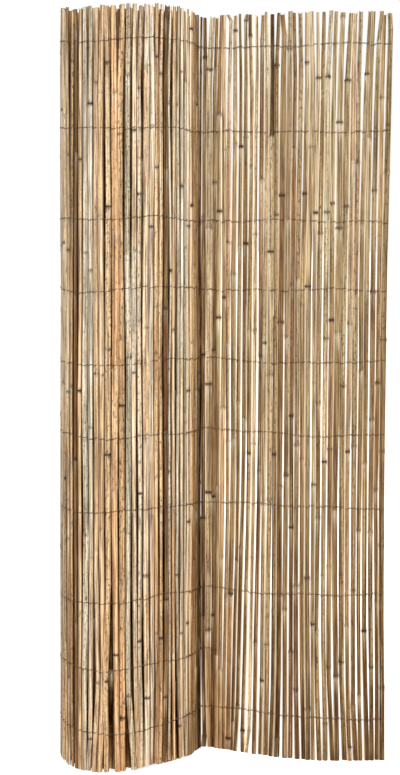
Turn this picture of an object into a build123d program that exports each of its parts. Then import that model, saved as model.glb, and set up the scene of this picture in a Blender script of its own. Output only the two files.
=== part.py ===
from build123d import *
import os
from itertools import accumulate
from math import ceil, cos, pi, radians, sin
from random import Random

# A split reed screen that stands on its reed ends, part rolled up and part opened out.
# All sizes are in millimetres. The open length runs to +X, and its shown face looks to -Y.
# The origin is on the ground, under the middle of the whole screen.

# The mat: halved reeds side by side, shown with their round side out
mat_height = 1500.0
mat_length = 4000.0
reed_pitch = 11.3  # one reed, from its own rim to the next reed's rim
pitch_spread = 0.16  # how far a reed is wider or narrower than the pitch, as a share of it
reed_rise = 4.6  # crown of the halved reed above the back of the mat
reed_wall = 1.4
rim_rise = 1.5  # height at which the round sides of two neighbours meet
rim_land = 1.3  # rim that lies in the back plane, each side of a reed
rolled_facets = 3  # flats across the round side of a reed in the roll
open_facets = 5

# The roll: a loose oval spiral that winds up inside its outermost turn
roll_radius = 130.4  # rims of the outermost turn, where it leaves the roll
turn_pitch = 13.0
roll_oval = 18.0  # how far the squashed roll is longer or shorter than round
oval_fade = 3.0  # how much rounder each turn is than the one outside it
oval_angle = -144.0  # direction of the long axis
leave_angle = -20.0  # direction in which the mat leaves the roll

# The open length: it leaves the roll, turns back in a tight valley and runs nearly straight
lead_radius = 115.0
lead_turn = 25.0
valley_radius = 24.6
valley_turn = -103.0
slope_length = 110.0
sweep_radius = 355.0
sweep_turn = 25.5
tail_length = 86.0

# The binding wires: ten rows, each a strand in front of the reeds and a strand behind
wire_gauge = 1.0
wire_clearance = 0.15
foot_margin = 85.0  # the ground to the lowest row
top_margin = 66.0  # the highest row to the top of the mat
bays = (115, 130, 176, 146, 145, 144, 139, 180, 174)  # proportions of the bays between the rows
wire_span = 5  # reeds under a straight stretch of wire, at most
wire_turn = 15.0  # how far the mat turns under a straight stretch, at most
broken_row = 2  # this row's wire has broken, and its loose part is gone from the open length
broken_end = 115.0  # what is left of it on the open length, from where that leaves the roll

# The gaps between reeds of the open length: least and greatest width of each kind
gap_start = 100.0  # the first gap comes this far along the open length
foot_gap_widths = (1.2, 3.4)
middle_gap_widths = (0.6, 1.4)
tip_gap_widths = (1.2, 3.2)
gap_taper = 0.5  # width of a gap at its narrow end, as a share of its width at the other
foot_gap_heads = (0.42, 0.56)  # where the foot gaps end, as a share of the mat's height
middle_gap_heads = (0.72, 0.94)
joined_stretch = 50.0  # the reeds touch for this long above a foot gap
tip_gap_feet = (2.0, 14.0)  # a tip gap starts this far above the highest wire row
tip_drops = (0.0, 5.0)  # how far the reed tips end below the top of the mat

chance = Random(29)


def spiral(angle):
    """The rim of a turn of the roll, at an angle in radians that falls by 2 pi for each turn inwards."""
    turns_in = (radians(leave_angle) - angle) / (2 * pi)
    oval = max(roll_oval - oval_fade * turns_in, 0) * cos(2 * (angle - radians(oval_angle)))
    radius = roll_radius - turn_pitch * turns_in + oval
    return Vector(radius * cos(angle), radius * sin(angle))


def outward(start, end):
    """The direction square to a run of the mat, towards its shown face."""
    along = (end - start).normalized()
    return Vector(along.Y, -along.X)


def arch(start, end, rise, chords):
    """The corners of an arch of a few chords from start to end, without those two points."""
    out = outward(start, end)
    crown = rise / cos(pi / (2 * chords)) if chords % 2 else rise
    points = []
    for k in range(1, chords):
        share = (1 - cos(pi * k / chords)) / 2
        points.append(start + (end - start) * share + out * crown * sin(pi * k / chords))
    return points


# The course of the open length, from the roll to its free edge
leave = spiral(radians(leave_angle))
leave_heading = leave - spiral(radians(leave_angle - 1))
with BuildLine() as open_course:
    lead = JernArc(leave, leave_heading, lead_radius, lead_turn)
    valley = JernArc(lead @ 1, lead % 1, valley_radius, valley_turn)
    slope = Line(valley @ 1, valley @ 1 + (valley % 1) * slope_length)
    sweep_arc = JernArc(slope @ 1, slope % 1, sweep_radius, sweep_turn)
    Line(sweep_arc @ 1, sweep_arc @ 1 + (sweep_arc % 1) * tail_length)
course = open_course.wire()

# The rims of the open length, with reeds of uneven width that fill it exactly
open_count = round(course.length / reed_pitch)
widths = [1 + pitch_spread * chance.uniform(-1, 1) for _ in range(open_count)]
stations = [course.length * total / sum(widths) for total in accumulate(widths)]
open_rims = [leave]
for station in stations:
    open_rims.append(course.position_at(station, position_mode=PositionMode.LENGTH))

# The rims of the roll, found by walking inwards from where the mat leaves it
roll_angles = [radians(leave_angle)]
rolled_length = 0.0
while rolled_length < mat_length - course.length:
    width = reed_pitch * (1 + pitch_spread * chance.uniform(-1, 1))
    roll_angles.append(roll_angles[-1] - width / spiral(roll_angles[-1]).length)
    rolled_length += width
roll_rims = [spiral(angle) for angle in reversed(roll_angles)]
roll_count = len(roll_rims) - 1
outer_turn = sum(angle > roll_angles[0] - 2 * pi for angle in roll_angles)

# The shown side and the back of each reed, from the heart of the roll to the free edge
rims = roll_rims + open_rims[1:]
seams = []
for i, rim in enumerate(rims):
    out = outward(rims[max(i - 1, 0)], rims[min(i + 1, len(rims) - 1)])
    seams.append(rim + out * rim_rise)
shown = []
back = []
for i in range(len(rims) - 1):
    facets = open_facets if i >= roll_count else rolled_facets
    shown.append([seams[i], *arch(seams[i], seams[i + 1], reed_rise - rim_rise, facets)])
    if i < roll_count:
        back.append([rims[i], *arch(rims[i], rims[i + 1], reed_rise - reed_wall, 2)])
    else:
        land = (rims[i + 1] - rims[i]).normalized() * rim_land
        foot = rims[i] + land
        far_foot = rims[i + 1] - land
        back.append([foot, *arch(foot, far_foot, reed_rise - reed_wall, 3), far_foot])


def mat_outline(first, last):
    """The closed section of the mat from one reed to another, as points."""
    points = [point for ridge in shown[first : last + 1] for point in ridge]
    points += [seams[last + 1], rims[last + 1]]
    for hollow in reversed(back[first : last + 1]):
        points += reversed(hollow)
    if points[-1] != rims[first]:
        points.append(rims[first])
    return points


def crown(i):
    """The top of a reed's round side."""
    middle = (rims[i] + rims[i + 1]) / 2
    return middle + outward(rims[i], rims[i + 1]) * reed_rise


def bends(first, last):
    """The reeds at which a strand bends: it lies straight over a few, fewer where the mat turns."""
    chosen = [first]
    for i in range(first + 1, last + 1):
        run = rims[chosen[-1] + 1] - rims[chosen[-1]]
        turn = run.get_angle(rims[i + 1] - rims[i])
        if i - chosen[-1] > wire_span or turn > wire_turn:
            chosen.append(max(i - 1, chosen[-1] + 1))
    if chosen[-1] != last:
        chosen.append(last)
    return chosen


def strand_outline(tops, under, directions):
    """The section of a strand that is pulled straight from top to top and clears what lies under it."""
    lifts = [0.0] * len(tops)
    for k in range(len(tops) - 1):
        out = outward(tops[k], tops[k + 1])
        if out.dot(directions[k]) < 0:
            out = -out
        lift = max(0.0, *((point - tops[k]).dot(out) for point in under[k]))
        lifts[k] = max(lifts[k], lift)
        lifts[k + 1] = max(lifts[k + 1], lift)
    near = [top + out * (wire_clearance + lift) for top, out, lift in zip(tops, directions, lifts)]
    far = [point + out * wire_gauge for point, out in zip(near, directions)]
    return near + far[::-1]


def front_strand_outline(last):
    """A strand over the crowns of the outermost turn and of the open length, as far as a reed."""
    at = bends(roll_count - outer_turn, last)
    under = [[point for ridge in shown[i : j + 1] for point in ridge] for i, j in zip(at, at[1:])]
    return strand_outline([crown(i) for i in at], under, [outward(rims[i], rims[i + 1]) for i in at])


def back_strand_outline(last):
    """A strand along the rims behind the open length, as far as a reed."""
    at = bends(roll_count + 1, last)
    under = [rims[i : j + 2] for i, j in zip(at, at[1:])]
    backs = [(rims[i] + rims[i + 1]) / 2 for i in at]
    return strand_outline(backs, under, [-outward(rims[i], rims[i + 1]) for i in at])


# The ground under the middle of the whole screen
last_reed = len(shown) - 1
front_strand = front_strand_outline(last_reed)
back_strand = back_strand_outline(last_reed)
plan = rims + front_strand + back_strand + [point for ridge in shown for point in ridge]
middle = Vector(
    (min(point.X for point in plan) + max(point.X for point in plan)) / 2,
    (min(point.Y for point in plan) + max(point.Y for point in plan)) / 2,
)
ground = Plane(origin=-middle)

os.makedirs("parts", exist_ok=True)

# The roll, all of its turns in one solid
with BuildPart() as rolled_reeds:
    with BuildSketch(ground):
        with BuildLine():
            Polyline(*mat_outline(0, roll_count - 1), close=True)
        make_face()
    extrude(amount=mat_height)
rolled_reeds.part.label = "rolled_reeds"
export_step(rolled_reeds.part, "parts/rolled_reeds.step")

# The heights of the wire rows, which keep their proportions between the two margins
row_span = mat_height - foot_margin - top_margin
rows = [foot_margin + row_span * total / sum(bays) for total in (0, *accumulate(bays))]


def slit(foot, head, foot_width, head_width):
    """A tapered upright gap, drawn on the plane of a seam between two reeds."""
    left = [(-foot_width / 2, foot), (-head_width / 2, head)]
    right = [(head_width / 2, head), (foot_width / 2, foot)]
    Polygon(*left, *right, align=None)


def upright(near, foot, far):
    """The upright plane through a foot point that faces out of the mat between two of its rims."""
    return Plane(origin=foot - middle, x_dir=(far - near).normalized(), z_dir=outward(near, far))


# The open length, one wall whose reeds stand apart at the foot, in the middle and at the tips
with BuildPart() as open_reeds:
    with BuildSketch(ground):
        with BuildLine():
            Polyline(*mat_outline(roll_count, last_reed), close=True)
        make_face()
    extrude(amount=mat_height)
    first_gap = roll_count + ceil(gap_start / reed_pitch)
    for i in range(first_gap, last_reed + 1):
        foot_width = chance.uniform(*foot_gap_widths)
        foot_head = mat_height * chance.uniform(*foot_gap_heads)
        middle_width = chance.uniform(*middle_gap_widths)
        middle_head = mat_height * chance.uniform(*middle_gap_heads)
        tip_width = chance.uniform(*tip_gap_widths)
        tip_foot = rows[-1] + chance.uniform(*tip_gap_feet)
        with BuildSketch(upright(rims[i - 1], rims[i], rims[i + 1])):
            slit(0, foot_head, foot_width, foot_width * gap_taper)
            slit(foot_head + joined_stretch, middle_head, middle_width * gap_taper, middle_width)
            slit(tip_foot, mat_height, tip_width * gap_taper, tip_width)
    for i in range(first_gap, last_reed):
        tip = mat_height - chance.uniform(*tip_drops)
        with BuildSketch(upright(rims[i], rims[i], rims[i + 1])):
            with Locations((0, tip)):
                Rectangle((rims[i + 1] - rims[i]).length, mat_height, align=Align.MIN)
    extrude(amount=2 * reed_rise, both=True, mode=Mode.SUBTRACT)
open_reeds.part.label = "open_reeds"
export_step(open_reeds.part, "parts/open_reeds.step")

# The binding wires, row by row from the ground up
broken_reed = roll_count + round(broken_end / reed_pitch)
broken_strands = (("front", front_strand_outline(broken_reed)), ("back", back_strand_outline(broken_reed)))
whole_strands = (("front", front_strand), ("back", back_strand))
for number, height in enumerate(rows, 1):
    for side, outline in broken_strands if number == broken_row else whole_strands:
        with BuildPart() as wire:
            with BuildSketch(ground.offset(height - wire_gauge / 2)):
                with BuildLine():
                    Polyline(*outline, close=True)
                make_face()
            extrude(amount=wire_gauge)
        wire.part.label = f"{side}_wire_{number:02d}"
        export_step(wire.part, f"parts/{side}_wire_{number:02d}.step")
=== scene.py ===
import bpy
from itertools import accumulate
from math import atan2, cos, pi, radians, sin
from random import Random

import numpy as np
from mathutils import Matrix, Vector


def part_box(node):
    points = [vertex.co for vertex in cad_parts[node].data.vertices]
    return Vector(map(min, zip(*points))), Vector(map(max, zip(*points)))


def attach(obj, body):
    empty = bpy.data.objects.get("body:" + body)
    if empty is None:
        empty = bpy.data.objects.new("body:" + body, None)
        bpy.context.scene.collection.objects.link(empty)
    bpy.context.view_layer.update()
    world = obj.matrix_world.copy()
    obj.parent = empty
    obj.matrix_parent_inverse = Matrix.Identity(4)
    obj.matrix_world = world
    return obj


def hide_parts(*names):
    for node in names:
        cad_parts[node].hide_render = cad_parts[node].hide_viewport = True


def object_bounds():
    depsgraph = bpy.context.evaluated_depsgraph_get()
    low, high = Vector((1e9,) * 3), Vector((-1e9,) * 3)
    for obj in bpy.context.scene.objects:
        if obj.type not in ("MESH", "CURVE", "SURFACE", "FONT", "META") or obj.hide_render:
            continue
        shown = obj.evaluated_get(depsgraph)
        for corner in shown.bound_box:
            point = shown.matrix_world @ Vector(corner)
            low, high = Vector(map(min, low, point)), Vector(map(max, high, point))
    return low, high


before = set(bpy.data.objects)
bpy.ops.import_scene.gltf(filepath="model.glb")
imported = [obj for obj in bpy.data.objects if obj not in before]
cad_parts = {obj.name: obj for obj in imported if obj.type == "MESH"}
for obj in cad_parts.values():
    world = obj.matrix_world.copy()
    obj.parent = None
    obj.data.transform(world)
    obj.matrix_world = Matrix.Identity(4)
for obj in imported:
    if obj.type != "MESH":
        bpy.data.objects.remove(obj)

mm = 0.001
cad_box = [list(corner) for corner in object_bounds()]

# The course of the mat, seen from above: a loose oval spiral of about six and a half turns, and
# the length that is opened out of it through a tight valley. Every reed is bound at the same place
# on it at all heights, so this one line lays out the whole screen.
mat_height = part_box("rolled_reeds")[1].z
mat_length = 4000.0 * mm
reed_pitch = 11.3 * mm
pitch_spread = 0.16
roll_radius = 130.4 * mm
turn_pitch = 13.0 * mm
roll_oval = 18.0 * mm
oval_fade = 3.0 * mm
oval_angle = radians(-144.0)
leave_angle = radians(-20.0)
# each stretch of the open length: how far it turns, and its radius or its length
stretches = [
    (radians(25.0), 115.0 * mm),
    (radians(-103.0), 24.6 * mm),
    (0.0, 110.0 * mm),
    (radians(25.5), 355.0 * mm),
    (0.0, 86.0 * mm),
]


def spiral(angle):
    """The rim line of the roll at an angle that falls by one turn for each turn inwards."""
    turns_in = (leave_angle - angle) / (2 * pi)
    oval = max(roll_oval - oval_fade * turns_in, 0) * cos(2 * (angle - oval_angle))
    radius = roll_radius - turn_pitch * turns_in + oval
    return Vector((radius * cos(angle), radius * sin(angle)))


def stretch_length(turn, size):
    """How long a stretch is: an arc of that radius, or a straight run of that length."""
    return abs(turn) * size if turn else size


def open_point(distance):
    """The rim line of the open length at a distance from where it leaves the roll."""
    point = spiral(leave_angle)
    start = point - spiral(leave_angle - radians(1))
    heading = atan2(start.y, start.x)
    for turn, size in stretches:
        step = min(distance, stretch_length(turn, size))
        if turn:
            side = 1 if turn > 0 else -1
            turned = heading + side * step / size
            arc = Vector((sin(turned) - sin(heading), cos(heading) - cos(turned)))
            point = point + arc * size * side
            heading = turned
        else:
            point = point + Vector((cos(heading), sin(heading))) * step
        distance -= step
        if distance <= 0:
            break
    return point


chance = Random(29)
open_length = sum(stretch_length(turn, size) for turn, size in stretches)
open_count = round(open_length / reed_pitch)
shares = [1 + pitch_spread * chance.uniform(-1, 1) for _ in range(open_count)]
open_rims = [open_point(open_length * total / sum(shares)) for total in accumulate(shares)]
roll_angles = [leave_angle]
rolled_length = 0.0
while rolled_length < mat_length - open_length:
    share = reed_pitch * (1 + pitch_spread * chance.uniform(-1, 1))
    roll_angles.append(roll_angles[-1] - share / spiral(roll_angles[-1]).length)
    rolled_length += share
roll_angles.reverse()
roll_count = len(roll_angles) - 1
inner_count = roll_count - sum(angle > leave_angle - 2 * pi for angle in roll_angles)
rims = [spiral(angle) for angle in roll_angles] + open_rims
# the last rim is the right end of the open length, and its deepest rim is the back of the valley
free_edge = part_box("open_reeds")[1]
shift = Vector((free_edge.x - rims[-1].x, free_edge.y - max(rim.y for rim in open_rims)))
rims = [rim + shift for rim in rims]
reed_total = len(rims) - 1


def across(i):
    """The middle of a reed's place in the mat, the way along the mat, and the way out of it."""
    along = (rims[i + 1] - rims[i]).normalized()
    return (rims[i] + rims[i + 1]) / 2, along, Vector((along.y, -along.x))


# How the mat sits out of true: reeds slip sideways in their bindings, lean and fan out, and while
# the mat was rolled they rode up. They slip in bunches, most at their two ends, and less and less
# over the last reeds before the free edge.
slip_heights = (0.0, 0.16, 0.5, 0.95, 1.35, 1.5)
slip_spreads = (2.4, 1.5, 1.1, 1.0, 1.3, 2.6)
bunch = 5
steady_reeds = 6
# the far end of the open length stands a little out of line, and fans out at the top
fan_heights = (0.0, 0.3, 0.5, 0.95, 1.2, 1.5)
fan_slips = (6.0, 3.0, 4.0, 9.0, 15.5, 23.0)
# the feet of the reeds round 0.38 of the open length stand to the left
lean_slip = 15 * mm
lean_middle = 0.38
lean_reach = 0.24
lean_height = 500 * mm
# the reeds just right of the front of the roll are splayed at the foot
splay_angle = radians(-96)
splay_end = radians(-50)
splay_width = 9 * mm
splay_height = 200 * mm
# the roll rode up in waves, which die out over the inner turns and the first open reeds
lift_middle = 5 * mm
lift_swing = 4 * mm
lift_crest = radians(-58)
lift_wave = radians(130)
lift_turns = 2.5
lift_reeds = 12


def faded(distance, reach):
    """A share that is 1 at no distance and falls evenly to 0 at that reach."""
    return max(0.0, 1 - distance / reach)


def bunched(draw, spread):
    """A distance for each reed that changes slowly along the mat."""
    raw = [draw.gauss(0, 1) for _ in range(reed_total + bunch)]
    return [spread * mm * sum(raw[i : i + bunch]) / bunch**0.5 for i in range(reed_total)]


slips = np.array([bunched(Random(40 + k), spread) for k, spread in enumerate(slip_spreads)])


def drift(i, height):
    """How far a reed has slipped along the mat at a height."""
    share = max(0.0, (i - roll_count) / open_count)
    slip = np.interp(height, slip_heights, slips[:, i]) * min(1.0, (reed_total - i) / steady_reeds)
    slip += share * np.interp(height, fan_heights, fan_slips) * mm
    slip -= lean_slip * faded(abs(share - lean_middle), lean_reach) * faded(height, lean_height)
    if inner_count < i < roll_count and splay_angle < roll_angles[i] < splay_end:
        opened = (splay_end - roll_angles[i]) / (splay_end - splay_angle)
        slip += splay_width * opened * faded(height, splay_height)
    return slip


def lift(i):
    """How far a reed has ridden up."""
    angle = roll_angles[min(i, roll_count)]
    inwards = faded(leave_angle - angle, lift_turns * 2 * pi)
    outwards = faded(max(0, i - roll_count), lift_reeds)
    wave = cos(2 * pi * (angle - lift_crest) / lift_wave)
    return inwards * outwards * (lift_middle + lift_swing * wave)


# The reeds: culms of cane split in half along their length and laid with the round skin outwards.
# Each is a thin half tube that swells and kinks a little at its joints, and was cut across at
# both ends with shears, so some tips are notched or ragged.
reed_rise = 4.6 * mm
reed_wall = 1.3 * mm
width_shares = (0.84, 1.06)
rise_shares = (0.82, 1.0)
flipped_share = 0.06
tilt_spread = 12
twist_reach = 8
# the joints: the lowest may be hidden below the foot, and none lies in a cut
lowest_joint = (-0.13, 0.33)
joint_spacing = (0.19, 0.36)
foot_margin = 20 * mm
tip_margin = 10 * mm
joint_swell = 0.10
joint_core = 2.0 * mm
joint_halo = 9 * mm
bloom_length = 40 * mm
growth_shares = (0.91, 1.06)
# how far, in millimetres, a reed kinks sideways at its joints and ends and stands out
rolled_kink = 1.3
open_kink = 0.9
foot_kink = 1.2
tip_kink = 2.0
proud_spread = 0.5
# the cut ends, in millimetres
foot_heights = (0.0, 0.0, 0.4, 1.5)
tip_range = (-4, 3)
tip_sections = (14, 4, 0)
ragged_range = (-1.2, 0.3)
notched_share = 0.3
notch_depths = (2, 9)
# how much of its place in the mat a reed fills, at heights from the foot to the tip
fill_heights = (0.0, 0.10, 0.25, 0.5, 0.64, 0.76, 0.88, 1.0, 1.1, 1.3, 1.4, 1.5)
fill_shares = (1.04, 0.96, 0.97, 1.01, 1.05, 1.12, 1.15, 1.14, 1.09, 1.09, 0.98, 0.83)
rolled_fill = 0.90


def joint_heights(draw):
    """The heights of a reed's joints, from the foot upwards."""
    heights = [draw.uniform(*lowest_joint)]
    while heights[-1] < mat_height:
        heights.append(heights[-1] + draw.uniform(*joint_spacing))
    return [height for height in heights if foot_margin < height < mat_height - tip_margin]


def section_levels(foot, tip, joints, fine):
    """The heights of a reed's sections: at its cut ends, round its joints and between them."""
    round_joint = (0.0, joint_core, joint_halo) if fine else (0.0, 1.5 * joint_core)
    levels = {foot, foot + foot_margin, *(tip - below * mm for below in tip_sections)}
    for low, high in zip([foot, *joints], [*joints, tip]):
        levels.add((low + high) / 2)
    for joint in joints:
        levels.update(joint + side * off for off in round_joint for side in (-1, 1))
        levels.add(joint - bloom_length)
    return np.array(sorted(level for level in levels if foot <= level <= tip))


def half_tube_faces(rows, steps):
    """The faces of a half tube of that many sections, closed along its rims and at both ends."""
    ring = 2 * (steps + 1)
    faces = []
    for r in range(rows - 1):
        for k in range(ring):
            n = (k + 1) % ring
            faces.append((r * ring + k, r * ring + n, (r + 1) * ring + n, (r + 1) * ring + k))
    for k in range(steps):
        low = (k, ring - 1 - k, ring - 2 - k, k + 1)
        faces.append(low)
        faces.append(tuple((rows - 1) * ring + v for v in reversed(low)))
    return faces


# How the reeds have weathered: each length between joints has its own tone, from bleached straw to
# the brown of damp, its own hue from grey to red, and its own share of soot from mildew. The roll is
# drawn lighter and warmer than the open length. The tones also carry painted shade in the inner
# turns, and painted light and shade in the fold of the valley.
rolled_tone = (0.87, 0.11)
open_tone = (0.61, 0.09)
rolled_warmth = (0.55, 0.16)
open_warmth = (0.27, 0.16)
dark_share = 0.04
dark_tones = (0.34, 0.46)
dark_warmth = 0.1
pale_share = 0.10
pale_tones = (0.82, 0.96)
dirty_tip_share = 0.1
dirty_tip_loss = 0.22
tone_change = 0.05
warmth_change = 0.06
soot_change = 0.22
# the reeds in the fold of the valley carry painted light and shade, the first of them drawn light
# and those deeper in the fold near black, and the top of one reed farther out is stained by mould:
# their tones, by their number in the open length
painted_valley_tones = {0: 0.80, 1: 0.70, 2: 0.60, 3: 0.45, 4: 0.20, 5: 0.10, 6: 0.25}
valley_warmth = 0.5
mouldy_reed = 19
mouldy_tone = 0.22
# how much of its tone a reed keeps at each height: painted shade darkens the inner turns except near
# their two ends, and the reeds in the fold of the valley towards the foot; the open length is darker
# towards the ground, and the roll a touch lighter about 0.9 m up
inner_shade = ((0.01, 0.05, 1.0, 1.36, 1.49), (0.5, 0.02, 0.0, 0.1, 0.9))
painted_valley_shade = ((0.0, 0.4, 0.7), (0.5, 0.65, 1.0))
open_shade = ((0.0, 0.6, 1.5), (0.50, 0.78, 1.0))
outer_shade = ((0.0, 0.9, 1.5), (1.0, 1.03, 1.0))


def weathering_and_painted_light(i, draw, internodes):
    """The tone of a reed, and the tone, hue and soot of each length between its joints; in the fold
    of the valley the tone is painted light and shade.
    """
    tone = draw.gauss(*(rolled_tone if i < roll_count else open_tone))
    warmth = draw.gauss(*(rolled_warmth if i < roll_count else open_warmth))
    soot = draw.random()
    # painted light and shade in the fold of the valley
    if i - roll_count in painted_valley_tones:
        tone, warmth = painted_valley_tones[i - roll_count], valley_warmth
    elif draw.random() < dark_share and i < roll_count:
        tone, warmth = draw.uniform(*dark_tones), dark_warmth
    elif draw.random() < pale_share:
        tone = draw.uniform(*pale_tones)
    tones = [tone + draw.gauss(0, tone_change) for _ in range(internodes)]
    if draw.random() < dirty_tip_share:
        tones[-1] -= dirty_tip_loss
    if i - roll_count == mouldy_reed:
        tones[-1] = mouldy_tone
    warmths = [warmth + draw.gauss(0, warmth_change) for _ in range(internodes)]
    soots = [min(1.0, max(0.0, soot + draw.gauss(0, soot_change))) for _ in range(internodes)]
    return tone, np.array(tones), np.array(warmths), np.array(soots)


def shade(i, levels, fine):
    """How much of its tone a reed keeps at those heights, with painted shade in the inner turns and
    in the fold of the valley.
    """
    # painted shade: the inner turns are dark except near their two ends
    if not fine:
        return np.interp(levels, *inner_shade)
    # painted shade towards the foot in the fold of the valley
    if i - roll_count in painted_valley_tones:
        return np.interp(levels, *painted_valley_shade)
    return np.interp(levels, *(open_shade if i >= roll_count else outer_shade))


def reed_mesh(i, draw, steps, fine):
    """Points, faces and the two sets of surface values of one reed."""
    middle, along, out = across(i)
    rolled = i < roll_count
    width = (rims[i + 1] - rims[i]).length * draw.uniform(*width_shares)
    rise = reed_rise * draw.uniform(*rise_shares)
    joints = np.array(joint_heights(draw))
    foot = draw.choice(foot_heights) * mm
    tip = mat_height + draw.uniform(*tip_range) * mm
    levels = section_levels(foot, tip, joints, fine)

    kink_heights = [0.0, *joints, mat_height]
    sideways = [draw.gauss(0, rolled_kink if rolled else open_kink) for _ in kink_heights]
    sideways[0] += draw.gauss(0, foot_kink)
    sideways[-1] += draw.gauss(0, tip_kink)
    proud = [draw.gauss(0, proud_spread) for _ in kink_heights]
    slip = np.interp(levels, kink_heights, sideways) * mm + [drift(i, level) for level in levels]
    stand = np.interp(levels, kink_heights, proud) * mm
    growth = np.array([draw.uniform(*growth_shares) for _ in range(len(joints) + 1)])
    internode = np.searchsorted(joints, levels)
    gaps = joints[None, :] - levels[:, None]
    nearest = np.min(np.abs(gaps), axis=1)
    swell = 1 + joint_swell * np.clip(1 - nearest / (2.5 * joint_core), 0, 1)
    fill = np.interp(levels, fill_heights, fill_shares) * (rolled_fill if rolled else 1)
    half = (width / 2 * fill * swell * growth[internode])[:, None]
    tilt = radians(draw.gauss(0, tilt_spread))
    twist = radians(draw.uniform(-twist_reach, twist_reach))
    roll = (tilt + twist * (levels / mat_height - 0.5))[:, None]

    # the section at each level: the round skin from rim to rim, and back along the hollow
    t = np.linspace(0, pi, steps + 1)
    outer_x = -half * np.cos(t)
    outer_y = rise * swell[:, None] * np.sin(t)
    inner_x = outer_x * (1 - reed_wall / half)
    inner_y = np.maximum(outer_y - reed_wall, 0)
    x = np.concatenate([outer_x, inner_x[:, ::-1]], axis=1)
    y = np.concatenate([outer_y, inner_y[:, ::-1]], axis=1) - rise / 2
    side = -1 if draw.random() < flipped_share else 1
    local_x = side * (x * np.cos(roll) - y * np.sin(roll)) + slip[:, None]
    local_y = side * (x * np.sin(roll) + y * np.cos(roll)) + rise / 2 + stand[:, None]
    z = np.repeat(levels[:, None], x.shape[1], axis=1)
    from_middle = np.abs(np.concatenate([-np.cos(t), np.cos(t)]))
    notch = draw.uniform(*notch_depths) if draw.random() < notched_share else 0.0
    ragged = np.array([draw.uniform(*ragged_range) for _ in from_middle])
    z[-1] += (ragged - notch * (1 - from_middle)) * mm
    points = np.empty((*x.shape, 3))
    points[..., 0] = middle.x + along.x * local_x + out.x * local_y
    points[..., 1] = middle.y + along.y * local_x + out.y * local_y
    points[..., 2] = np.maximum(z, 0) + lift(i)

    # culm: the tone there, which carries the painted shade of the inner turns and the valley, the
    # hue and soot there, and a number that tells reeds apart
    tone, tones, warmths, soots = weathering_and_painted_light(i, draw, len(growth))
    culm = np.empty((*x.shape, 4))
    culm[..., 0] = np.clip(tones[internode] * shade(i, levels, fine), 0, 1)[:, None]
    culm[..., 1] = np.clip(warmths[internode], 0, 1)[:, None]
    culm[..., 2] = soots[internode][:, None]
    culm[..., 3] = draw.random()

    # form: by a joint, in the bloom under a joint, inside the hollow, near a rim
    strength = np.array([draw.uniform(0.3, 1.0) for _ in joints])
    closest = np.argmin(np.abs(gaps), axis=1)
    below_joint = np.min(np.where(gaps >= 0, gaps, 1), axis=1)
    bloom = draw.uniform(0.1, 1.3) * min(1.0, max(0.0, tone))
    form = np.empty((*x.shape, 4))
    form[..., 0] = (np.clip(1 - nearest / joint_halo, 0, 1) * strength[closest])[:, None]
    form[..., 1] = (np.clip(1 - below_joint / bloom_length, 0, 1) * bloom)[:, None]
    form[..., 2] = np.repeat([0.0, 1.0], steps + 1)[None, :]
    form[..., 3] = (1 - from_middle)[None, :]
    faces = half_tube_faces(len(levels), steps)
    return points.reshape(-1, 3), faces, culm.reshape(-1, 4), form.reshape(-1, 4)


def reed_piece(name, numbers, steps, fine):
    """One object that holds the reeds with those numbers."""
    points, faces, culms, forms = [], [], [], []
    count = 0
    for i in numbers:
        reed_points, reed_faces, culm, form = reed_mesh(i, Random(1000 + i), steps, fine)
        points.append(reed_points)
        faces += [tuple(count + v for v in face) for face in reed_faces]
        culms.append(culm)
        forms.append(form)
        count += len(reed_points)
    mesh = bpy.data.meshes.new(name)
    mesh.from_pydata(np.concatenate(points).tolist(), [], faces)
    for layer, values in (("culm", culms), ("form", forms)):
        attribute = mesh.attributes.new(layer, "FLOAT_COLOR", "POINT")
        attribute.data.foreach_set("color", np.concatenate(values).astype(np.float32).ravel())
    mesh.shade_smooth()
    mesh.set_sharp_from_angle(angle=radians(50))
    piece = bpy.data.objects.new(name, mesh)
    bpy.context.scene.collection.objects.link(piece)
    return piece


def linear(hex_colour):
    """A linear colour with alpha from sRGB hex."""
    channels = [int(hex_colour[k : k + 2], 16) / 255 for k in (1, 3, 5)]
    return [c / 12.92 if c <= 0.04045 else ((c + 0.055) / 1.055) ** 2.4 for c in channels] + [1.0]


def add(tree, kind, settings=None, **links):
    """A node with its settings; a link is a socket of another node, and any other value is set."""
    node = tree.nodes.new(kind)
    for key, value in (settings or {}).items():
        setattr(node, key, value)
    for key, value in links.items():
        name = key.replace("_", " ")
        socket = node.inputs[int(key[1:])] if key[1:].isdigit() else node.inputs[name]
        if isinstance(value, bpy.types.NodeSocket):
            tree.links.new(value, socket)
        else:
            socket.default_value = value
    return node


def mixed(tree, blend, factor, first, second):
    """The colour that comes of mixing two colours."""
    settings = {"data_type": "RGBA", "blend_type": blend}
    return add(tree, "ShaderNodeMix", settings, i0=factor, i6=first, i7=second).outputs[2]


def maths(tree, operation, first, second=0.0, clamp=False):
    """One step of arithmetic on two numbers."""
    settings = {"operation": operation, "use_clamp": clamp}
    return add(tree, "ShaderNodeMath", settings, i0=first, i1=second).outputs[0]


def ramp(tree, factor, stops):
    """A run of hex colours, or of plain numbers as greys, at places from 0 to 1."""
    node = add(tree, "ShaderNodeValToRGB", i0=factor)
    elements = node.color_ramp.elements
    while len(elements) < len(stops):
        elements.new(0.5)
    for element, (place, colour) in zip(elements, stops):
        element.position = place
        element.color = linear(colour) if isinstance(colour, str) else [colour] * 3 + [1.0]
    return node.outputs[0]
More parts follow.
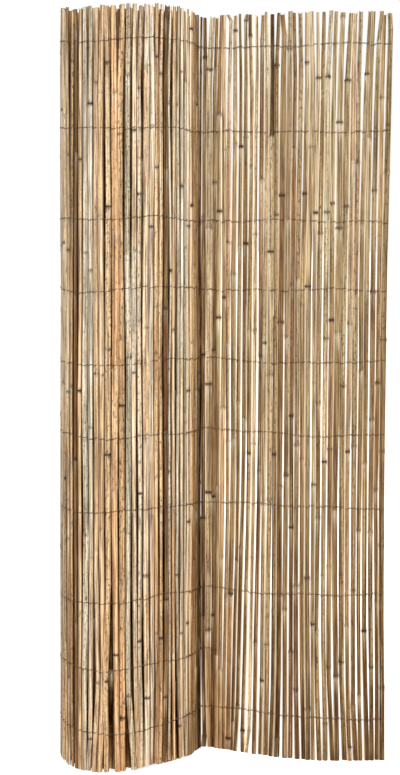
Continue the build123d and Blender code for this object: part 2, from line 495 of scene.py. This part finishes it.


# Split reed, cut dry: a satin straw skin with fine fibres along it, sooty flecks where mildew sat,
# a dark ring at each joint with a pale bloom under it, and matt pith inside the hollow. Along its
# split edges it carries painted shade in the roll, where the reeds meet, and a painted highlight in
# the open length.
def split_reed_material(name, painted_edge_colour, painted_edge_width):
    material = bpy.data.materials.new(name)
    material.use_nodes = True
    tree = material.node_tree
    tree.nodes.clear()
    culm = add(tree, "ShaderNodeAttribute", {"attribute_name": "culm"})
    form = add(tree, "ShaderNodeAttribute", {"attribute_name": "form"})
    tone, warmth, soot = add(tree, "ShaderNodeSeparateColor", i0=culm.outputs["Color"]).outputs
    joint, bloom, hollow = add(tree, "ShaderNodeSeparateColor", i0=form.outputs["Color"]).outputs
    place = add(tree, "ShaderNodeTexCoord").outputs["Object"]
    number = maths(tree, "MULTIPLY", culm.outputs["Alpha"], 40.0)

    def grain(across_mm, along_mm, detail=3.0, roughness=0.6):
        """Noise with that spacing across the reed and along it, other on each reed."""
        scale = (1 / (across_mm * mm), 1 / (across_mm * mm), 1 / (along_mm * mm))
        noise = add(
            tree,
            "ShaderNodeTexNoise",
            {"noise_dimensions": "4D"},
            Vector=add(tree, "ShaderNodeMapping", i0=place, i3=scale).outputs[0],
            W=number,
            Scale=1.0,
            Detail=detail,
            Roughness=roughness,
        )
        return noise.outputs[0]

    # the real fibres are 0.3 mm apart, and are drawn 1.3 mm apart so that they show
    fibres = grain(1.3, 70)
    stripes = grain(2.8, 260)
    flecks = grain(2.8, 8, 4.0, 0.7)
    blotches = grain(8, 60)

    drifted = maths(tree, "MULTIPLY", maths(tree, "SUBTRACT", blotches, 0.5), 0.5)
    skin = ramp(
        tree,
        maths(tree, "ADD", tone, drifted),
        [
            (0.00, "#1c0f04"),
            (0.15, "#52371c"),
            (0.30, "#8d6a40"),
            (0.45, "#b38e61"),
            (0.60, "#cfae82"),
            (0.75, "#e5c8a0"),
            (0.90, "#f3ddbb"),
            (1.00, "#faf1e0"),
        ],
    )
    # from mauve through grey green and plain straw to orange
    tint = ramp(
        tree,
        warmth,
        [
            (0.00, "#dccdc6"),
            (0.14, "#c9d1ca"),
            (0.30, "#dae1da"),
            (0.52, "#fffefa"),
            (0.75, "#feefd8"),
            (0.95, "#fadebf"),
        ],
    )
    skin = mixed(tree, "MULTIPLY", 1.0, skin, tint)
    speckled = maths(tree, "MULTIPLY", bloom, ramp(tree, flecks, [(0.42, 0.4), (0.5, 1.0)]))
    skin = mixed(tree, "MIX", maths(tree, "MULTIPLY", speckled, 0.75), skin, linear("#f4ead2"))
    pith_stripes = ramp(tree, stripes, [(0.3, "#a89071"), (0.6, "#ffffff")])
    pith = mixed(tree, "MULTIPLY", 1.0, linear("#e6d4b0"), pith_stripes)
    colour = mixed(tree, "MIX", hollow, skin, pith)
    dark_fibres = ramp(tree, fibres, [(0.36, "#7a5733"), (0.56, "#ffffff")])
    colour = mixed(tree, "MULTIPLY", 0.9, colour, dark_fibres)
    dark_stripes = ramp(tree, stripes, [(0.38, "#805f3b"), (0.56, "#ffffff")])
    colour = mixed(tree, "MULTIPLY", 0.75, colour, dark_stripes)
    pale_stripes = ramp(tree, stripes, [(0.56, 0.0), (0.66, 0.8)])
    colour = mixed(tree, "SCREEN", pale_stripes, colour, linear("#a08e70"))
    # mildew sits in flecks, most of all round the joints, and spreads out in stains
    mildew = maths(tree, "ADD", maths(tree, "MULTIPLY", soot, 0.8), joint)
    sooty = maths(tree, "MULTIPLY", ramp(tree, flecks, [(0.53, 0.0), (0.60, 1.0)]), mildew, True)
    colour = mixed(tree, "MIX", sooty, colour, linear("#38260f"))
    stains = maths(tree, "MULTIPLY", ramp(tree, blotches, [(0.54, 0.0), (0.68, 0.6)]), soot)
    colour = mixed(tree, "MIX", stains, colour, linear("#77694e"))
    # painted shade along the split edges in the roll, a painted highlight along them in the open
    # length
    edge = ramp(tree, form.outputs["Alpha"], [(0.02, 1.0), (painted_edge_width, 0.0)])
    colour = mixed(tree, "MIX", maths(tree, "MULTIPLY", edge, 0.8), colour, linear(painted_edge_colour))
    uneven = maths(tree, "ADD", flecks, 0.9)
    ring = maths(tree, "MULTIPLY", maths(tree, "POWER", joint, 2.6), uneven, True)
    colour = mixed(tree, "MIX", ring, colour, linear("#2c1906"))
    # every reed is drawn darker and warmer towards the ground
    height = add(tree, "ShaderNodeSeparateXYZ", i0=place).outputs[2]
    height = maths(tree, "DIVIDE", height, mat_height)
    lower = ramp(tree, height, [(0.0, "#f6eadc"), (0.45, "#fcf7f0"), (1.0, "#ffffff")])
    colour = mixed(tree, "MULTIPLY", 1.0, colour, lower)

    relief = maths(tree, "ADD", fibres, maths(tree, "MULTIPLY", flecks, 0.4))
    bump = add(tree, "ShaderNodeBump", Strength=0.5, Distance=0.4 * mm, Height=relief)
    rough = maths(tree, "ADD", maths(tree, "MULTIPLY", hollow, 0.25), 0.48)
    satin = maths(tree, "MULTIPLY", tone, 0.5)
    shader = add(
        tree,
        "ShaderNodeBsdfPrincipled",
        Base_Color=colour,
        Roughness=maths(tree, "ADD", rough, maths(tree, "MULTIPLY", sooty, 0.2)),
        Specular_IOR_Level=maths(tree, "MULTIPLY", maths(tree, "SUBTRACT", 1.0, edge), satin),
        Normal=bump.outputs[0],
    )
    add(tree, "ShaderNodeOutputMaterial", i0=shader.outputs[0])
    return material


# the roll's reeds get painted shade on their split edges, the open length's a painted highlight
rolled_skin = split_reed_material("split_reed_satin_painted_shade_edges", "#3c2208", 0.22)
open_skin = split_reed_material("split_reed_satin_painted_highlight_edges", "#fff3da", 0.30)
open_piece = reed_piece("open_length_reeds", range(roll_count, reed_total), 8, True)
outer_piece = reed_piece("outer_turn_reeds", range(inner_count, roll_count), 8, True)
inner_piece = reed_piece("inner_turn_reeds", range(inner_count), 5, False)
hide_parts("open_reeds")
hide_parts("rolled_reeds")
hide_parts("rolled_reeds")
for piece, skin in ((open_piece, open_skin), (outer_piece, rolled_skin), (inner_piece, rolled_skin)):
    piece.data.materials.append(skin)
    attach(piece, "root")


# The binding wires: ten rows of thin brown annealed wire. Each row is a twined pair, in which one
# strand lies over a reed while the other lies under it, and they change places in the gap, so a
# short length that climbs to the right shows on every reed.
wire_gauge = 1.1 * mm
strand_climb = 1.3 * mm
strand_clearance = 0.2 * mm
row_count = 10
row_slip = 0.9 * mm
# a row wanders in two waves: the size of each, and its steps from reed to reed and row to row
wander_waves = ((2.2 * mm, 0.17, 1.7), (1.5 * mm, 0.43, 4.1))
# the lowest row sags on the front of the roll, and the next has come off most of the open length
sagging_row = 1
sag_depth = 15 * mm
sag_angle = radians(-98)
sag_reach = radians(80)
broken_row = 2
broken_reed = roll_count + 10
# where a strand passes on a reed: places from its left rim at -1 to its right rim at 1, and how
# far out the strand stands there, from 0 behind the reed to 1 over its skin
over_spots = ((-1.0, 0.30), (-0.62, 0.82), (0.0, 1.0), (0.62, 0.82))
under_spots = ((-1.0, 0.30), (-0.6, 0.04), (0.6, 0.04))
inner_over_spots = ((-1.0, 0.4), (0.0, 1.0))
inner_under_spots = ((-1.0, 0.4), (0.0, 0.0))


def row_height(row, i, offsets):
    """The height of a row on a reed: level in the main, with a slow wander and a small slip."""
    low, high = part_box(f"front_wire_{row:02d}")
    level = (low.z + high.z) / 2 + lift(i) + offsets[i]
    level += sum(size * sin(i * by_reed + row * by_row) for size, by_reed, by_row in wander_waves)
    if row == sagging_row and inner_count < i < roll_count:
        level -= sag_depth * faded(abs(roll_angles[i] - sag_angle), sag_reach)
    return level


def strand_points(row, phase, numbers, offsets, fine):
    """The middle line of one strand of a row, over and under the reeds in turn."""
    behind = -wire_gauge / 2 - strand_clearance
    in_front = reed_rise + wire_gauge / 2 + strand_clearance
    line = []
    for i in numbers:
        middle, along, out = across(i)
        half = (rims[i + 1] - rims[i]).length / 2
        over = (i + phase) % 2 == 0
        level = row_height(row, i, offsets)
        slip = drift(i, level)
        climb = strand_climb if over else -strand_climb
        if fine:
            spots = over_spots if over else under_spots
        else:
            spots = inner_over_spots if over else inner_under_spots
        for share, stand in spots:
            depth = behind + (in_front - behind) * stand
            spot = middle + along * (half * share + slip) + out * depth
            line.append((spot.x, spot.y, level + climb * share))
    return np.array(line)


def tube(line, radius, sides):
    """A tube round a line of points, closed at both ends."""
    ahead = np.gradient(line, axis=0)
    ahead /= np.linalg.norm(ahead, axis=1)[:, None]
    side = np.cross(ahead, (0.0, 0.0, 1.0))
    side /= np.linalg.norm(side, axis=1)[:, None]
    rise = np.cross(side, ahead)
    turn = np.linspace(0, 2 * pi, sides, endpoint=False)[None, :, None]
    ring = np.cos(turn) * side[:, None, :] + np.sin(turn) * rise[:, None, :]
    points = line[:, None, :] + radius * ring
    faces = []
    for r in range(len(line) - 1):
        for k in range(sides):
            n = (k + 1) % sides
            faces.append((r * sides + k, (r + 1) * sides + k, (r + 1) * sides + n, r * sides + n))
    faces.append(tuple(range(sides)))
    faces.append(tuple((len(line) - 1) * sides + k for k in reversed(range(sides))))
    return points.reshape(-1, 3), faces


# Annealed steel wire, brown with thin rust and oil: dull, in patches from dark to reddish brown.
def binding_wire_material():
    material = bpy.data.materials.new("annealed_wire_brown")
    material.use_nodes = True
    tree = material.node_tree
    tree.nodes.clear()
    place = add(tree, "ShaderNodeTexCoord").outputs["Object"]
    rust = add(tree, "ShaderNodeTexNoise", Vector=place, Scale=1 / (6 * mm), Detail=3.0).outputs[0]
    colour = ramp(tree, rust, [(0.35, "#2e1d12"), (0.6, "#5a3a22")])
    bump = add(tree, "ShaderNodeBump", Strength=0.3, Distance=0.1 * mm, Height=rust)
    shader = add(
        tree,
        "ShaderNodeBsdfPrincipled",
        Base_Color=colour,
        Metallic=0.35,
        Roughness=0.6,
        Normal=bump.outputs[0],
    )
    add(tree, "ShaderNodeOutputMaterial", i0=shader.outputs[0])
    return material


wire_finish = binding_wire_material()
wire_chance = Random(77)
for row in range(1, row_count + 1):
    offsets = [wire_chance.gauss(0, row_slip) for _ in range(reed_total)]
    row_end = broken_reed if row == broken_row else reed_total
    points, faces = [], []
    count = 0
    for phase in (0, 1):
        for numbers, fine in ((range(inner_count), False), (range(inner_count, row_end), True)):
            line = strand_points(row, phase, numbers, offsets, fine)
            tube_points, tube_faces = tube(line, wire_gauge / 2, 6 if fine else 4)
            points.append(tube_points)
            faces += [tuple(count + v for v in face) for face in tube_faces]
            count += len(tube_points)
    mesh = bpy.data.meshes.new(f"binding_wire_row_{row:02d}")
    mesh.from_pydata(np.concatenate(points).tolist(), [], faces)
    mesh.shade_smooth()
    mesh.materials.append(wire_finish)
    piece = bpy.data.objects.new(mesh.name, mesh)
    bpy.context.scene.collection.objects.link(piece)
    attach(piece, "root")
    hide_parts(f"front_wire_{row:02d}", f"back_wire_{row:02d}")


# The studio: a wide matt white floor that runs to the horizon, and an even white sky. The sky
# lights the screen less strongly than it looks, and the floor is lifted to white for the camera
# but keeps the screen's shadow.
floor_reach = 60.0
floor_drop = 0.5 * mm
white = (1.0, 1.0, 1.0, 1.0)


def studio_material():
    material = bpy.data.materials.new("studio_floor_matt_white")
    material.use_nodes = True
    tree = material.node_tree
    tree.nodes.clear()
    seen = add(tree, "ShaderNodeLightPath").outputs["Is Camera Ray"]
    matt = add(tree, "ShaderNodeBsdfDiffuse", Color=(0.8, 0.8, 0.8, 1.0))
    strength = maths(tree, "MULTIPLY", seen, 0.8)
    glow = add(tree, "ShaderNodeEmission", Color=white, Strength=strength)
    both = add(tree, "ShaderNodeAddShader", i0=matt.outputs[0], i1=glow.outputs[0])
    add(tree, "ShaderNodeOutputMaterial", i0=both.outputs[0])
    return material


floor_mesh = bpy.data.meshes.new("studio_floor")
quarters = ((-1, -1), (1, -1), (1, 1), (-1, 1))
corners = [(x * floor_reach, y * floor_reach, -floor_drop) for x, y in quarters]
floor_mesh.from_pydata(corners, [], [(0, 1, 2, 3)])
floor_mesh.materials.append(studio_material())
floor = bpy.data.objects.new("studio_floor", floor_mesh)
bpy.context.scene.collection.objects.link(floor)

world = bpy.data.worlds.new("studio_sky")
bpy.context.scene.world = world
world.use_nodes = True
sky = world.node_tree
sky.nodes.clear()
paths = add(sky, "ShaderNodeLightPath").outputs
seen_white = maths(sky, "MAXIMUM", paths["Is Camera Ray"], paths["Is Glossy Ray"])
seen_white = maths(sky, "MAXIMUM", seen_white, paths["Is Transmission Ray"])
soft_light = add(sky, "ShaderNodeBackground", Color=white, Strength=0.38).outputs[0]
white_sky = add(sky, "ShaderNodeBackground", Color=white, Strength=1.0).outputs[0]
choice = add(sky, "ShaderNodeMixShader", i0=seen_white, i1=soft_light, i2=white_sky)
add(sky, "ShaderNodeOutputWorld", i0=choice.outputs[0])

# The sun stands in front of the screen, a little to the right and about 37 degrees up, and is
# wide enough for soft shadows.
key = bpy.data.objects.new("studio_key", bpy.data.lights.new("studio_key", "SUN"))
key.data.energy = 3.85
key.data.angle = radians(14)
key.rotation_euler = Vector((0.12, -1.0, 0.75)).to_track_quat("Z", "Y").to_euler()
bpy.context.scene.collection.objects.link(key)

# The camera stands level, 3 m in front of the roll and a little over 1 m up, and its lens is
# shifted down to take in the whole screen, as in the photograph.
camera_from_left = 283.8 * mm
camera_from_front = 3000.0 * mm
camera_height = 1070.0 * mm
focal_pixels = 1536
frame_height_pixels = 775
horizon_pixel = 226
sensor_height = 36.0
camera = bpy.data.objects.new("camera", bpy.data.cameras.new("camera"))
bpy.context.scene.collection.objects.link(camera)
camera.data.sensor_width = sensor_height
camera.data.lens = sensor_height * focal_pixels / frame_height_pixels
camera.data.shift_y = (horizon_pixel - frame_height_pixels / 2) / frame_height_pixels
left, front = cad_box[0][:2]
camera.location = (left + camera_from_left, front - camera_from_front, camera_height)
camera.rotation_euler = (radians(90), 0, 0)
bpy.context.scene.camera = camera
bpy.context.scene.view_settings.view_transform = "Standard"
